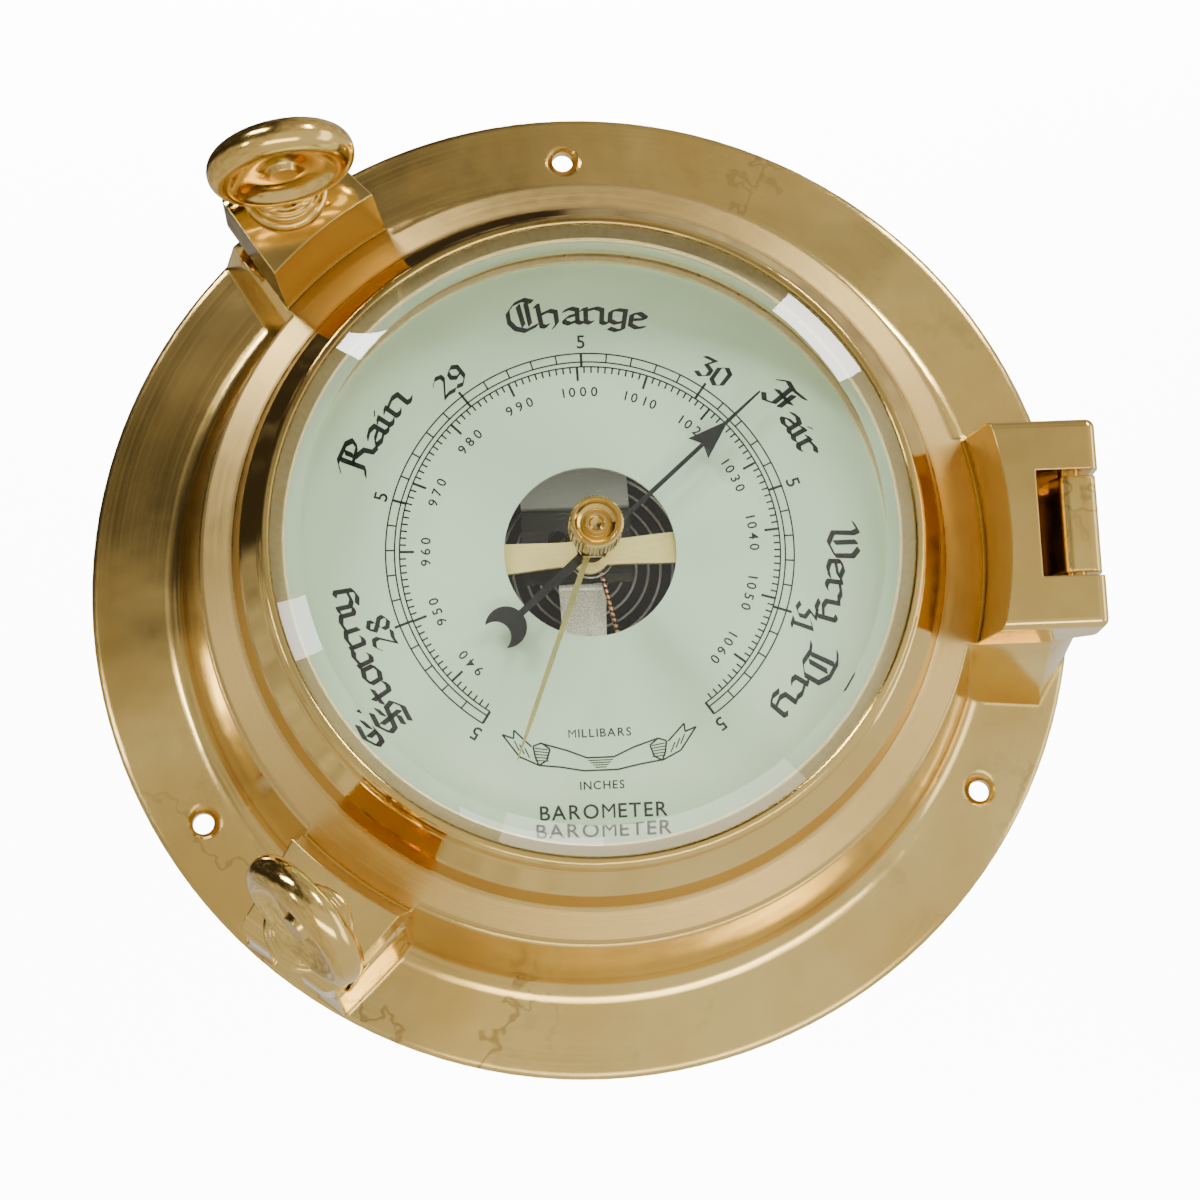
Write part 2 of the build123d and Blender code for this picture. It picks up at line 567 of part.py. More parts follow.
with BuildPart() as rocker:
    # Pivot shaft with a short arm under the drop link and a long arm up to the chain.
    with BuildSketch(Plane.YZ.offset(-12.3)) as pivots:
        with Locations((-ROCKER_DEPTH, ROCKER_Z)):
            Circle(0.8)
    extrude(pivots.sketch, amount=24.6)
    with BuildSketch(Plane.YZ.offset(-10.5)) as shaft:
        with Locations((-ROCKER_DEPTH, ROCKER_Z)):
            Circle(1.3)
    extrude(shaft.sketch, amount=21)
    slab([(-2.8, ROCKER_Z - 5.4), (-0.4, ROCKER_Z - 5.4), (-0.4, ROCKER_Z), (-2.8, ROCKER_Z)],
         ROCKER_DEPTH - 0.5, ROCKER_DEPTH + 0.5)
    slab([(6.7, ROCKER_Z - 1.0), (8.9, ROCKER_Z - 1.0), (8.9, ROCKER_Z + 1.0), (6.7, ROCKER_Z + 1.0)],
         ROCKER_DEPTH, 27.65)
save(rocker, "rocker")

with BuildPart() as chain:
    dx, dz = CHAIN_FOOT[0] - CHAIN_TOP[0], CHAIN_FOOT[1] - CHAIN_TOP[1]
    length = (dx * dx + dz * dz) ** 0.5
    run = Plane(origin=(CHAIN_TOP[0], -CHAIN_DEPTH, CHAIN_TOP[1]), x_dir=(0, 1, 0), z_dir=(dx, 0, dz))
    with BuildSketch(run) as link:
        Circle(0.45)
    extrude(link.sketch, amount=length)
save(chain, "chain")

with BuildPart() as pointer_arbor:
    turn([(0, 26.6), (0.6, 26.6), (0.6, 27.2), (0.9, 27.4), (0.9, 29.0), (0.7, 29.2), (0.7, 38.2),
          (0, 38.2)])
save(pointer_arbor, "pointer_arbor")

with BuildPart() as pointer:
    across, along = on_circle(1, POINTER_ANGLE)

    def point(distance, aside):
        """X, Z of a point this far along the pointer and this far to its side."""
        return distance * across + aside * along, distance * along - aside * across

    ring(0.7, 2.6, POINTER_BACK - 0.3, POINTER_FRONT + 0.9)
    # Arm, barbed head and spike.
    slab([point(1.5, 0.5), point(28.2, 0.36), point(28.2, -0.36), point(1.5, -0.5)],
         POINTER_BACK, POINTER_FRONT)
    slab([point(28.0, 0), point(26.8, 2.55), point(33.4, 0.34), point(42.3, 0.16), point(42.3, -0.16),
          point(33.4, -0.34), point(26.8, -2.55)], POINTER_BACK, POINTER_FRONT)
    # Tail with its crescent.
    slab([point(-1.5, 0.9), point(-18.2, 0.6), point(-18.2, -0.6), point(-1.5, -0.9)],
         POINTER_BACK, POINTER_FRONT)
    with BuildSketch(at_depth(POINTER_BACK)) as crescent:
        with Locations(point(-21.0, 0)):
            Circle(3.75)
        with Locations(point(-23.6, 0)):
            Circle(2.8, mode=Mode.SUBTRACT)
    extrude(crescent.sketch, amount=POINTER_FRONT - POINTER_BACK)
save(pointer, "pointer")

with BuildPart() as hairspring:
    # Flat spiral from the bridge's stud in towards the arbor.
    turns, inner, pitch = 3, 1.9, 0.8
    with BuildSketch(at_depth(29.6)) as strip:
        with BuildLine() as spiral:
            for half in range(2 * turns):
                start = (inner + half * pitch / 2) * (1 if half % 2 == 0 else -1)
                radius = inner + half * pitch / 2 + pitch / 4
                end = start - 2 * radius * (1 if half % 2 == 0 else -1)
                middle = (start + end) / 2
                ThreePointArc((start, 0), (middle, radius if half % 2 == 0 else -radius), (end, 0))
        trace(spiral.edges(), line_width=0.22)
    extrude(strip.sketch, amount=0.5)
    # Stud that hangs its outer end from the bridge.
    post(inner + turns * pitch, 0, 0.45, 29.6, 30.4)
save(hairspring, "hairspring")
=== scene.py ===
"""Looks for the brass ship's barometer.

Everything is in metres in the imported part's frame: the wall plane is Y = 0, the dial faces -Y and
+Z is up the dial. "Depth" is the distance in front of the wall, along -Y.
"""

from math import cos, pi, radians, sin

import bmesh
import bpy
from mathutils import Matrix, Vector
from mathutils.geometry import convex_hull_2d


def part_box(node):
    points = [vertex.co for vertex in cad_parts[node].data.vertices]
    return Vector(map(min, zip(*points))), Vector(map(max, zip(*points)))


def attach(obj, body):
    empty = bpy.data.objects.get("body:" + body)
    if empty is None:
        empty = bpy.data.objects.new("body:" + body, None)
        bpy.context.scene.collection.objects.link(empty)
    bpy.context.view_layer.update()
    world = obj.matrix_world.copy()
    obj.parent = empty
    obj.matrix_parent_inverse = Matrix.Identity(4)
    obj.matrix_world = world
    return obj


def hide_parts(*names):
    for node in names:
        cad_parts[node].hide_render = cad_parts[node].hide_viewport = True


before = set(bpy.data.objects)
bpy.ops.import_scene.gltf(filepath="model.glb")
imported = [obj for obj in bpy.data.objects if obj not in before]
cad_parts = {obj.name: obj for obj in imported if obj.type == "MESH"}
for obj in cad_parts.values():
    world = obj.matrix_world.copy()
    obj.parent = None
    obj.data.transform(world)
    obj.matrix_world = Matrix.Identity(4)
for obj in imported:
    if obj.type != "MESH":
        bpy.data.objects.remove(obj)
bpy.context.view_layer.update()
MM = 0.001

# ---------------------------------------------------------------- camera
CAMERA_AT = Vector((-31.5, -640.2, -124.5)) * MM
CAMERA_AIM = Vector((3.2, 0.0, -2.2)) * MM
CAMERA_ROLL = -2.83            # degrees
CAMERA_LENS = 103.1            # mm on a 36 mm sensor

camera_data = bpy.data.cameras.new("camera")
camera_data.lens = CAMERA_LENS
camera_data.sensor_width = 36.0
camera_data.clip_start = 0.01
camera = bpy.data.objects.new("camera", camera_data)
bpy.context.scene.collection.objects.link(camera)
look = (CAMERA_AIM - CAMERA_AT).to_track_quat("-Z", "Y").to_matrix()
roll = Matrix.Rotation(radians(CAMERA_ROLL), 3, "Z")
camera.matrix_world = Matrix.Translation(CAMERA_AT) @ (look @ roll).to_4x4()
bpy.context.scene.camera = camera


# ---------------------------------------------------------------- node helpers
class Nodes:
    """Short ways to build a material's node tree."""

    def __init__(self, name):
        self.material = bpy.data.materials.new(name)
        self.material.use_nodes = True
        self.tree = self.material.node_tree
        self.shader = self.tree.nodes["Principled BSDF"]
        self.place = self.add("ShaderNodeTexCoord").outputs["Object"]

    def add(self, kind, **inputs):
        node = self.tree.nodes.new(kind)
        for key, value in inputs.items():
            self.feed(node.inputs[key.replace("_", " ")], value)
        return node

    def feed(self, socket, value):
        if isinstance(value, bpy.types.NodeSocket):
            self.tree.links.new(value, socket)
        else:
            socket.default_value = value

    def set(self, **inputs):
        for key, value in inputs.items():
            self.feed(self.shader.inputs[key.replace("_", " ")], value)

    def math(self, operation, a, b=0.0):
        node = self.tree.nodes.new("ShaderNodeMath")
        node.operation = operation
        self.feed(node.inputs[0], a)
        self.feed(node.inputs[1], b)
        return node.outputs[0]

    def noise(self, place, scale, detail=3.0, rough=0.55):
        node = self.add("ShaderNodeTexNoise", Scale=scale, Detail=detail, Roughness=rough)
        self.feed(node.inputs["Vector"], place)
        return node.outputs["Fac"]

    def stretched(self, place, scale):
        node = self.tree.nodes.new("ShaderNodeMapping")
        self.feed(node.inputs["Vector"], place)
        node.inputs["Scale"].default_value = scale
        return node.outputs["Vector"]

    def ramp(self, value, low, high, out_low=0.0, out_high=1.0):
        node = self.tree.nodes.new("ShaderNodeMapRange")
        self.feed(node.inputs["Value"], value)
        for key, number in (("From Min", low), ("From Max", high), ("To Min", out_low), ("To Max", out_high)):
            self.feed(node.inputs[key], number)
        return node.outputs["Result"]

    def mix(self, factor, a, b):
        node = self.tree.nodes.new("ShaderNodeMix")
        node.data_type = "RGBA"
        self.feed(node.inputs["Factor"], factor)
        self.feed(node.inputs["A"], a)
        self.feed(node.inputs["B"], b)
        return node.outputs["Result"]

    def bump(self, height, strength, distance, normal=None):
        node = self.tree.nodes.new("ShaderNodeBump")
        self.feed(node.inputs["Height"], height)
        node.inputs["Strength"].default_value = strength
        node.inputs["Distance"].default_value = distance
        if normal is not None:
            self.feed(node.inputs["Normal"], normal)
        return node.outputs["Normal"]

    def soft_edges(self, radius):
        node = self.tree.nodes.new("ShaderNodeBevel")
        node.samples = 6
        node.inputs["Radius"].default_value = radius
        return node.outputs["Normal"]

    def lathe(self):
        """(radius, depth) of the shaded point about the dial axis."""
        split = self.tree.nodes.new("ShaderNodeSeparateXYZ")
        self.feed(split.inputs[0], self.place)
        x, y, z = split.outputs
        square = self.math("ADD", self.math("MULTIPLY", x, x), self.math("MULTIPLY", z, z))
        return self.math("SQRT", square), self.math("MULTIPLY", y, -1.0)

    def vector(self, x, y, z):
        node = self.tree.nodes.new("ShaderNodeCombineXYZ")
        for socket, value in zip(node.inputs, (x, y, z)):
            self.feed(socket, value)
        return node.outputs[0]


# ---------------------------------------------------------------- materials
BRASS = (0.82, 0.60, 0.21, 1.0)
BRASS_DEEP = (0.70, 0.47, 0.14, 1.0)
BRASS_TAN = (0.68, 0.47, 0.17, 1.0)
BRASS_SATIN = (0.80, 0.70, 0.40, 1.0)
BRASS_TARNISH = (0.46, 0.32, 0.11, 1.0)
TIDE_BROWN = (0.24, 0.13, 0.03, 1.0)

# Where the door ring is left satin: radii and depth in metres, each edge fading over a short way.
SATIN_FROM = (0.0641, 0.0645)
SATIN_TO = (0.0716, 0.0712)
SATIN_BEHIND = (0.0365, 0.0360)

# The bowed spring's colour turns from the painted highlight of the bend to the painted shade of the flat
# between these heights, in metres.
SPRING_LIGHT_TO_SHADE = (0.0104, 0.0094)
CHAIN_PITCH = 0.0011           # metres between links


def polished_brass(name, edge=0.5, rough=(0.07, 0.17), wave=0.0, turned=0.0):
    """Hand-buffed brass: soft edges, cloudy colour, a gentle waviness and fine buffing or lathe lines."""
    m = Nodes(name)
    cloud = m.noise(m.place, 26.0, 4.0)
    tarnish = m.noise(m.place, 75.0, 5.0, 0.7)
    radius, depth = m.lathe()
    lines = m.noise(m.vector(m.math("MULTIPLY", radius, 1500.0), m.math("MULTIPLY", depth, 1500.0), 0.0),
                    1.0, 3.0)
    tint = m.mix(m.ramp(cloud, 0.40, 0.62), BRASS, BRASS_DEEP)
    tint = m.mix(m.ramp(tarnish, 0.56, 0.72, 0.0, 0.4), tint, BRASS_TARNISH)
    if wave:
        # Dried polish: thin wandering tide lines in a few places.
        tide = m.math("ABSOLUTE", m.math("SUBTRACT", m.noise(m.place, 24.0, 5.0, 0.6), 0.5))
        where = m.ramp(m.noise(m.place, 11.0, 1.0), 0.53, 0.60)
        stain = m.math("MULTIPLY", m.ramp(tide, 0.010, 0.002, 0.0, 0.45), where)
        tint = m.mix(stain, tint, TIDE_BROWN)
    m.set(
        Metallic=1.0,
        Base_Color=tint,
        Roughness=m.math("ADD", m.ramp(cloud, 0.35, 0.65, *rough), m.ramp(lines, 0.3, 0.7, 0.0, 0.05)),
    )
    normal = m.soft_edges(edge * MM) if edge else None
    if wave:
        normal = m.bump(m.noise(m.place, 17.0, 2.0, 0.4), 1.0, wave * MM, normal)
        normal = m.bump(m.noise(m.place, 60.0, 2.0, 0.4), 1.0, 0.16 * wave * MM, normal)
    normal = m.bump(m.noise(m.place, 900.0, 2.0), 0.03, 0.0001, normal)
    if turned:
        normal = m.bump(lines, turned, 0.0001, normal)
    m.set(Normal=normal)
    return m.material


def door_brass():
    """The door ring: a fine satin band outside, bright polish on the riser, cone and lip."""
    m = Nodes("door_brass")
    radius, depth = m.lathe()
    band = m.math("MULTIPLY", m.ramp(radius, *SATIN_FROM), m.ramp(radius, *SATIN_TO))
    band = m.math("MULTIPLY", band, m.ramp(depth, *SATIN_BEHIND))
    lines = m.noise(m.vector(m.math("MULTIPLY", radius, 5200.0), m.math("MULTIPLY", depth, 5200.0), 0.0),
                    1.0, 3.0)
    broken = m.noise(m.place, 260.0, 3.0)
    cloud = m.noise(m.place, 30.0, 4.0)
    tint = m.mix(m.ramp(cloud, 0.35, 0.7), BRASS, BRASS_DEEP)
    m.set(
        Metallic=1.0,
        Base_Color=m.mix(m.math("MULTIPLY", band, 0.8), tint, BRASS_TAN),
        Roughness=m.math("ADD", m.math("MULTIPLY", band, m.ramp(lines, 0.3, 0.7, 0.27, 0.38)),
                         m.ramp(broken, 0.3, 0.7, 0.06, 0.13)),
    )
    normal = m.soft_edges(0.45 * MM)
    normal = m.bump(m.noise(m.place, 40.0, 2.0), 1.0, 0.0001, normal)
    normal = m.bump(m.math("MULTIPLY", lines, band), 0.30, 0.0001, normal)
    normal = m.bump(m.noise(m.place, 220.0, 3.0), 0.03, 0.0003, normal)
    m.set(Normal=normal)
    return m.material


def sheet_metal(name, colour, dark, rough, grain, metallic=1.0, edge=0.15):
    """Flat stock with a straight grain and a little mottling."""
    m = Nodes(name)
    line = m.noise(m.stretched(m.place, grain), 1.0, 4.0)
    cloud = m.noise(m.place, 120.0, 3.0)
    mottle = m.math("ADD", line, m.math("MULTIPLY", cloud, 0.6))
    m.set(
        Metallic=metallic,
        Base_Color=m.mix(m.ramp(mottle, 0.55, 1.05), colour, dark),
        Roughness=m.ramp(line, 0.3, 0.7, *rough),
    )
    m.set(Normal=m.bump(line, 0.08, 0.0001, m.soft_edges(edge * MM)))
    return m.material


def capsule_metal():
    """Dark plated corrugations with a painted highlight: a near-white, less metallic colour on a narrow band
    at each crest stands in for the light they catch.
    """
    m = Nodes("capsule_metal")
    radius, depth = m.lathe()
    lines = m.noise(m.vector(m.math("MULTIPLY", radius, 4000.0), 0.0, 0.0), 1.0, 2.0)
    # painted highlight: this band at the top of each crest gets a near-white colour
    crest = m.ramp(depth, CAPSULE_CREST - 0.00022, CAPSULE_CREST - 0.00006)
    m.set(
        Metallic=m.ramp(crest, 0.0, 1.0, 1.0, 0.35),
        Base_Color=m.mix(crest, (0.022, 0.022, 0.020, 1.0), (0.90, 0.90, 0.84, 1.0)),
        Roughness=m.ramp(lines, 0.3, 0.7, 0.08, 0.18),
    )
    m.set(Normal=m.bump(lines, 0.10, 0.0001))
    return m.material


def spring_nickel():
    """Nickel split by height: polished near-white where the leaf bends away, a painted highlight, and
    near-black on the flat below, painted shade.
    """
    m = Nodes("spring_nickel")
    split = m.tree.nodes.new("ShaderNodeSeparateXYZ")
    m.feed(split.inputs[0], m.place)
    # flat marks the flat of the leaf below these heights: near-white above it is painted highlight,
    # near-black on it is painted shade
    flat = m.ramp(split.outputs[2], *SPRING_LIGHT_TO_SHADE)
    grain = m.noise(m.stretched(m.place, (160.0, 900.0, 2600.0)), 1.0, 3.0)
    painted_shade = m.mix(m.ramp(grain, 0.3, 0.7), (0.040, 0.040, 0.035, 1.0), (0.065, 0.065, 0.056, 1.0))
    m.set(
        Metallic=m.ramp(flat, 0.0, 1.0, 0.25, 0.9),
        Base_Color=m.mix(flat, (0.92, 0.92, 0.86, 1.0), painted_shade),
        Roughness=m.ramp(grain, 0.3, 0.7, 0.16, 0.28),
        Normal=m.bump(grain, 0.06, 0.0001),
    )
    return m.material


def lever_silver():
    """Silvered plate with a coarse frosted speckle."""
    m = Nodes("lever_silver")
    speck = m.noise(m.place, 3100.0, 3.0, 0.6)
    m.set(
        Metallic=0.45,
        Base_Color=m.mix(m.ramp(speck, 0.42, 0.62), (0.60, 0.59, 0.43, 1.0), (0.97, 0.96, 0.80, 1.0)),
        Roughness=m.ramp(speck, 0.3, 0.7, 0.32, 0.5),
        Normal=m.bump(speck, 0.5, 0.0002),
    )
    return m.material


def dial_lacquer():
    """Pale mint lacquer, faintly mottled."""
    m = Nodes("dial_lacquer")
    cloud = m.noise(m.place, 45.0, 4.0)
    grain = m.noise(m.place, 2600.0, 2.0)
    m.set(
        Base_Color=m.mix(m.ramp(cloud, 0.3, 0.7), (0.535, 0.725, 0.515, 1.0), (0.575, 0.765, 0.555, 1.0)),
        Roughness=m.ramp(grain, 0.2, 0.8, 0.42, 0.55),
        Specular_IOR_Level=0.25,
        Normal=m.bump(grain, 0.05, 0.00005),
    )
    return m.material


def ink(name, colour):
    """Screen print, with slightly uneven coverage."""
    m = Nodes(name)
    spots = m.noise(m.place, 5200.0, 3.0)
    faded = tuple(c * 2.2 for c in colour[:3]) + (1.0,)
    m.set(Base_Color=m.mix(m.ramp(spots, 0.45, 0.75), colour, faded), Specular_IOR_Level=0.15,
          Roughness=m.ramp(spots, 0.2, 0.8, 0.45, 0.6))
    return m.material


def painted_steel(name, colour, rough, metallic=0.35):
    m = Nodes(name)
    grain = m.noise(m.place, 1800.0, 3.0)
    light = tuple(c * 1.5 for c in colour[:3]) + (1.0,)
    m.set(
        Base_Color=m.mix(m.ramp(grain, 0.35, 0.75), colour, light),
        Roughness=m.ramp(grain, 0.2, 0.8, *rough),
        Metallic=metallic,
        Specular_IOR_Level=0.2,
        Normal=m.bump(grain, 0.05, 0.0001, m.soft_edges(0.08 * MM)),
    )
    return m.material


def clear_glass():
    """Clear glass that lets the lamps through to the dial."""
    m = Nodes("clear_glass")
    faint = m.noise(m.place, 60.0, 2.0)
    m.set(
        Base_Color=(0.975, 0.99, 0.98, 1.0),
        Transmission_Weight=1.0,
        Specular_IOR_Level=0.32,
        IOR=1.5,
        Roughness=m.ramp(faint, 0.3, 0.7, 0.0, 0.012),
    )
    path = m.tree.nodes.new("ShaderNodeLightPath")
    through = m.add("ShaderNodeBsdfTransparent", Color=(0.95, 0.97, 0.96, 1.0))
    blend = m.tree.nodes.new("ShaderNodeMixShader")
    shadow = m.math("MAXIMUM", path.outputs["Is Shadow Ray"], path.outputs["Is Diffuse Ray"])
    m.feed(blend.inputs[0], shadow)
    m.feed(blend.inputs[1], m.shader.outputs[0])
    m.feed(blend.inputs[2], through.outputs[0])
    m.feed(m.tree.nodes["Material Output"].inputs["Surface"], blend.outputs[0])
    return m.material


def link_chain():
    """Copper-coloured flat links, with painted shade: a near-black colour in the gaps between links along the
    chain.
    """
    m = Nodes("chain_copper")
    split = m.tree.nodes.new("ShaderNodeSeparateXYZ")
    m.feed(split.inputs[0], m.place)
    beat = m.math("SINE", m.math("MULTIPLY", split.outputs[2], 2.0 * pi / CHAIN_PITCH))
    # painted shade: the near-black colour stands in for the shade in the gaps between links
    gap_shade, link = (0.04, 0.025, 0.015, 1.0), (0.50, 0.25, 0.12, 1.0)
    m.set(Metallic=1.0, Base_Color=m.mix(m.ramp(beat, -0.7, -0.2), gap_shade, link), Roughness=0.32,
          Normal=m.bump(beat, 0.6, 0.0002))
    return m.material


CAPSULE_CREST = 0.0184         # metres of depth at the top of the capsule's corrugations
EVEN = (900.0, 900.0, 900.0)   # grain of stock with no direction
FLANGE = polished_brass("flange_brass", edge=0.9, rough=(0.10, 0.18), wave=1.5, turned=0.05)
DOG = polished_brass("dog_brass", edge=0.5, rough=(0.06, 0.14), wave=0.3)
TURNED = polished_brass("turned_brass", edge=0.15, rough=(0.08, 0.16), turned=0.05)
KNOB = polished_brass("knob_brass", edge=0.10, rough=(0.08, 0.15))
DOOR = door_brass()
SATIN = sheet_metal("satin_brass", BRASS_SATIN, (0.72, 0.58, 0.27, 1.0), (0.38, 0.55), EVEN, 0.85)
BRIDGE = sheet_metal("bridge_brass", (0.95, 0.82, 0.33, 1.0), (0.86, 0.70, 0.24, 1.0), (0.30, 0.42),
                     (500.0, 900.0, 2500.0), 0.55)
HAND = sheet_metal("hand_brass", (0.56, 0.55, 0.22, 1.0), (0.44, 0.41, 0.13, 1.0), (0.30, 0.42), EVEN)
CASE = sheet_metal("case_brass", (0.74, 0.55, 0.22, 1.0), (0.58, 0.40, 0.14, 1.0), (0.25, 0.4), EVEN)
STEEL = sheet_metal("screw_steel", (0.55, 0.55, 0.56, 1.0), (0.38, 0.38, 0.40, 1.0), (0.2, 0.35), EVEN)
NICKEL = spring_nickel()
SILVERED = lever_silver()
PLATE = painted_steel("dark_plate", (0.012, 0.012, 0.012, 1.0), (0.2, 0.35))
BLUED = painted_steel("pointer_black", (0.006, 0.007, 0.006, 1.0), (0.5, 0.65), 0.0)
CAPSULE = capsule_metal()
MINT = dial_lacquer()
INK = ink("dial_ink", (0.007, 0.010, 0.008, 1.0))
GLASS = clear_glass()
COPPER = link_chain()

LOOKS = {
    "base_flange": FLANGE, "door_ring": DOOR, "hinge_pin": TURNED, "glass": GLASS, "glass_seat": SATIN,
    "glass_clamp_ring": SATIN, "set_bush": TURNED, "set_bush_nut": TURNED, "set_spindle": TURNED,
    "set_knob": KNOB, "set_hand": HAND, "instrument_case": CASE, "case_screws": STEEL, "dial": MINT,
    "dial_ring": SATIN, "dial_feet": CASE, "dial_foot_screws": STEEL, "movement_plate": PLATE,
    "plate_spacers": CASE, "plate_screws": STEEL, "capsule": CAPSULE, "main_spring": NICKEL,
    "spring_screws": STEEL, "bridge": BRIDGE, "bridge_pillars": BRIDGE, "bridge_screws": STEEL,
    "rocker_bracket": BRIDGE, "regulating_screw": STEEL, "capsule_stud": STEEL, "main_lever": SILVERED,
    "rocker": BRIDGE, "chain": COPPER, "pointer_arbor": BRIDGE, "pointer": BLUED, "hairspring": STEEL,
}
for side in ("upper", "lower"):
    for piece in ("bolt", "pin", "washer", "nut"):
        LOOKS[f"{side}_dog_{piece}"] = DOG
for name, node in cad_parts.items():
    for index in range(len(node.data.materials)):
        node.data.materials[index] = LOOKS[name]


# ---------------------------------------------------------------- capsule
RIPPLE_FROM = 4.6              # mm, radius of the first crest
RIPPLE_TO = 20.4
RIPPLE_PITCH = 2.25
RIPPLE_HEIGHT = 0.55           # mm, half of crest to trough
RIPPLE_DEPTH = 17.85           # mm, mean depth of the front sheet
SEAM_DEPTH = 15.1              # mm, the plane the two sheets mirror about


def corrugated(step=0.1, around=160):
    """The capsule as one smooth turned skin, its corrugations rounded like pressed sheet."""
    waves = []
    radius = RIPPLE_FROM
    while radius < RIPPLE_TO:
        ripple = cos(2 * pi * (radius - RIPPLE_FROM) / RIPPLE_PITCH)
        waves.append((radius, RIPPLE_DEPTH + RIPPLE_HEIGHT * ripple))
        radius += step
    under = [(r, 2 * SEAM_DEPTH - depth) for r, depth in reversed(waves)]
    outline = ([(0.0, 19.2), (3.8, 19.2), (4.2, 18.9)] + waves
               + [(21.2, 15.7), (22.4, 15.5), (22.5, 15.1), (22.4, 14.7), (21.2, 14.5)] + under
               + [(4.2, 11.3), (2.6, 11.2), (2.6, 8.0), (0.0, 8.0)])
    points, faces = [], []
    for r, depth in outline:
        for i in range(around):
            turn = 2 * pi * i / around
            points.append((r * sin(turn) * MM, -depth * MM, r * cos(turn) * MM))
    for row in range(len(outline) - 1):
        for i in range(around):
            j = (i + 1) % around
            faces.append((row * around + i, row * around + j, (row + 1) * around + j, (row + 1) * around + i))
    data = bpy.data.meshes.new("capsule_skin")
    data.from_pydata(points, [], faces)
    mesh = bmesh.new()
    mesh.from_mesh(data)
    bmesh.ops.remove_doubles(mesh, verts=mesh.verts, dist=1e-7)
    bmesh.ops.recalc_face_normals(mesh, faces=mesh.faces)
    mesh.to_mesh(data)
    mesh.free()
    data.shade_smooth()
    piece = bpy.data.objects.new("capsule_skin", data)
    bpy.context.scene.collection.objects.link(piece)
    data.materials.append(CAPSULE)
    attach(piece, "case")
    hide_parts("capsule")


corrugated()

# ---------------------------------------------------------------- dial print
DIAL_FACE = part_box("dial")[0].y - 0.03 * MM      # just proud of the lacquer
SCALE_OUTER = 36.8                               # mm, three circles of the scale
SCALE_MIDDLE = 35.2
SCALE_INNER = 34.3
INCH_TURN = 72.9                                 # degrees of dial per inch of mercury
INCH_TOP = 29.5                                  # inches at the top of the dial
MILLIBAR_TURN = 2.163                            # degrees of dial per millibar
THOUSAND_AT = -1.4                               # degrees
SCALE_END = 145.8                                # degrees each side of the top
CIRCLE_LINE = 0.27                               # mm, line widths of the print
FINE_LINE = 0.28
MILLIBAR_LINE = 0.30
BOLD_LINE = 0.46
BOLD_MILLIBAR_LINE = 0.44
RIBBON_LINE = 0.30
HATCH_LINE = 0.20
TAIL_LINE = 0.22


def on_dial(radius, clockwise):
    """X, Z in mm of a point this far out, this angle clockwise from the top."""
    return Vector((radius * sin(radians(clockwise)), radius * cos(radians(clockwise))))


def arc_to_dial(x, y, clockwise, radius):
    """Bends a point of upright lettering round the dial: x runs clockwise and y outwards, in mm."""
    return on_dial(radius + y, clockwise + x / radius * 180.0 / pi)


class Print:
    """Collects flat printed shapes, then makes one object of them."""

    def __init__(self):
        self.mesh = bmesh.new()

    def polygon(self, points):
        corners = [self.mesh.verts.new((p[0] * MM, DIAL_FACE, p[1] * MM)) for p in points]
        face = self.mesh.faces.new(corners)
        face.normal_update()
        if face.normal.y > 0:
            face.normal_flip()

    def line(self, a, b, width):
        along = (Vector(b) - Vector(a)).normalized()
        aside = Vector((-along.y, along.x)) * width / 2
        self.polygon([Vector(a) + aside, Vector(b) + aside, Vector(b) - aside, Vector(a) - aside])

    def arc(self, radius, start, end, width, step=1.5):
        count = max(2, int((end - start) / step))
        turns = [start + (end - start) * i / count for i in range(count + 1)]
        for first, second in zip(turns, turns[1:]):
            self.polygon([on_dial(radius - width / 2, first), on_dial(radius + width / 2, first),
                          on_dial(radius + width / 2, second), on_dial(radius - width / 2, second)])

    def nib(self, a, b, width, slant, thin):
        """One pull of a broad pen from a to b."""
        wide = Vector((cos(slant), sin(slant))) * width / 2
        edge = Vector((-sin(slant), cos(slant))) * thin / 2
        cloud = [Vector(p) + s * wide + t * edge for p in (a, b) for s in (-1, 1) for t in (-1, 1)]
        return [cloud[i] for i in convex_hull_2d(cloud)]

    def finish(self, name):
        data = bpy.data.meshes.new(name)
        self.mesh.to_mesh(data)
        self.mesh.free()
        piece = bpy.data.objects.new(name, data)
        bpy.context.scene.collection.objects.link(piece)
        data.materials.append(INK)
        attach(piece, "case")
        return piece


def millibar_angle(value):
    return THOUSAND_AT + MILLIBAR_TURN * (value - 1000.0)


scale = Print()
scale.arc(SCALE_OUTER, -SCALE_END, SCALE_END, CIRCLE_LINE)
scale.arc(SCALE_MIDDLE, -SCALE_END, SCALE_END, CIRCLE_LINE)
scale.arc(SCALE_INNER, -SCALE_END, SCALE_END + 0.3, CIRCLE_LINE)
for tenth in range(275, 316):
    clockwise = (tenth / 10 - INCH_TOP) * INCH_TURN
    bold = tenth % 5 == 0
    reach = 1.0 if tenth % 10 == 0 else 0.0
    scale.line(on_dial(SCALE_MIDDLE - (0.9 if bold else 0), clockwise),
               on_dial(SCALE_OUTER + reach, clockwise), BOLD_LINE if bold else FINE_LINE)
for value in range(934, 1068):
    clockwise = millibar_angle(value)
    if abs(clockwise) <= SCALE_END:
        ten = value % 10 == 0
        reach = 2.6 if ten else 1.15
        scale.line(on_dial(SCALE_INNER - reach, clockwise), on_dial(SCALE_INNER, clockwise),
                   BOLD_MILLIBAR_LINE if ten else MILLIBAR_LINE)
scale.finish("dial_scale")

